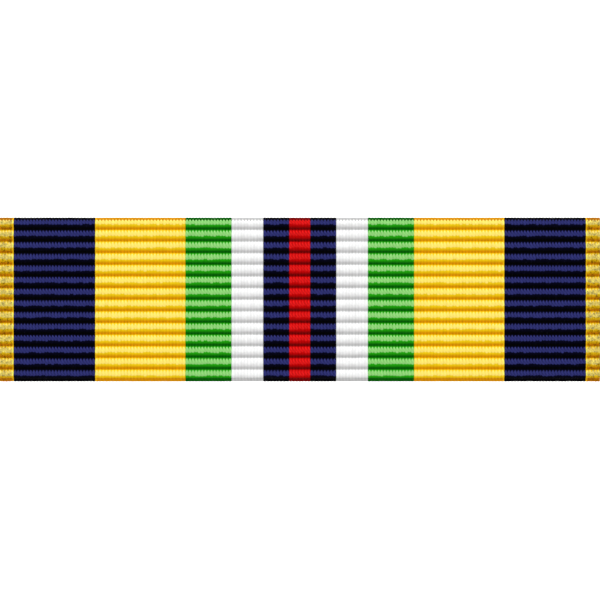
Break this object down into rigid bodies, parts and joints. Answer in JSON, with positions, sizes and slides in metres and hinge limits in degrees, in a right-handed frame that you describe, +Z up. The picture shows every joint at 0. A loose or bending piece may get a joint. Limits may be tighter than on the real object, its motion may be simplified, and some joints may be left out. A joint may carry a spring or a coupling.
{
  "type": "service ribbon bar",
  "caption": "Striped grosgrain service ribbon on a sliding brass carrier, with a mounting bar, two posts and spring-jawed butterfly clutches.",
  "frame": {"origin": "middle of the plane that touches the garment, on the axis of symmetry between the two posts", "axes": "+X along the ribbon, +Z up as worn, +Y into the garment along the posts; the ribbon's face looks along -Y"},
  "size_m": [0.035, 0.0107, 0.0096],
  "materials": {
    "ribbon_cloth": "ribbed woven ribbon with a silky sheen, striped lengthways",
    "carrier_brass": "bright stamped sheet brass",
    "bar_brass": "brushed stamped brass",
    "post_brass": "turned brass",
    "clutch_brass": "polished drawn brass",
    "jaw_brass": "stamped brass, satin",
    "spring_wire": "drawn spring steel wire"
  },
  "bodies": {
    "bar": {"mounting_bar": "bar_brass", "left_post": "post_brass", "right_post": "post_brass"},
    "ribbon_unit": {"ribbon": "ribbon_cloth", "ribbon_carrier": "carrier_brass"},
    "left_clutch_ring": {"left_jaw_spring": "spring_wire"},
    "left_clutch": {"left_clutch_base": "clutch_brass", "left_clutch_cover": "clutch_brass"},
    "left_outer_wing": {"left_outer_jaw": "jaw_brass"},
    "left_inner_wing": {"left_inner_jaw": "jaw_brass"},
    "right_clutch_ring": {"right_jaw_spring": "spring_wire"},
    "right_clutch": {"right_clutch_base": "clutch_brass", "right_clutch_cover": "clutch_brass"},
    "right_outer_wing": {"right_outer_jaw": "jaw_brass"},
    "right_inner_wing": {"right_inner_jaw": "jaw_brass"}
  },
  "joints": [
    {"name": "ribbon_slide", "type": "slide", "parent": "bar", "child": "ribbon_unit", "axis": [1, 0, 0], "range_m": [-0.036, 0.036]},
    {"name": "left_clutch_pull", "type": "slide", "parent": "bar", "child": "left_clutch_ring", "axis": [0, 1, 0], "range_m": [0, 0.012]},
    {"name": "left_clutch_turn", "type": "hinge", "parent": "left_clutch_ring", "child": "left_clutch", "pos_m": [-0.00953, 0.0034, 0], "axis": [0, 1, 0], "continuous": true},
    {"name": "left_outer_squeeze", "type": "hinge", "parent": "left_clutch", "child": "left_outer_wing", "pos_m": [-0.01112, 0.00575, 0], "axis": [0, 0, -1], "range_deg": [0, 12], "stiffness_Nm_per_rad": 0.002},
    {"name": "left_inner_squeeze", "type": "hinge", "parent": "left_clutch", "child": "left_inner_wing", "pos_m": [-0.00792, 0.00575, 0], "axis": [0, 0, 1], "range_deg": [0, 12], "stiffness_Nm_per_rad": 0.002},
    {"name": "right_clutch_pull", "type": "slide", "parent": "bar", "child": "right_clutch_ring", "axis": [0, 1, 0], "range_m": [0, 0.012]},
    {"name": "right_clutch_turn", "type": "hinge", "parent": "right_clutch_ring", "child": "right_clutch", "pos_m": [0.00953, 0.0034, 0], "axis": [0, 1, 0], "continuous": true},
    {"name": "right_outer_squeeze", "type": "hinge", "parent": "right_clutch", "child": "right_outer_wing", "pos_m": [0.01112, 0.00575, 0], "axis": [0, 0, 1], "range_deg": [0, 12], "stiffness_Nm_per_rad": 0.002},
    {"name": "right_inner_squeeze", "type": "hinge", "parent": "right_clutch", "child": "right_inner_wing", "pos_m": [0.00792, 0.00575, 0], "axis": [0, 0, -1], "range_deg": [0, 12], "stiffness_Nm_per_rad": 0.002}
  ],
  "couplings": [
    {"joint": "left_inner_squeeze", "follows": "left_outer_squeeze", "ratio": 1},
    {"joint": "right_inner_squeeze", "follows": "right_outer_squeeze", "ratio": 1}
  ]
}
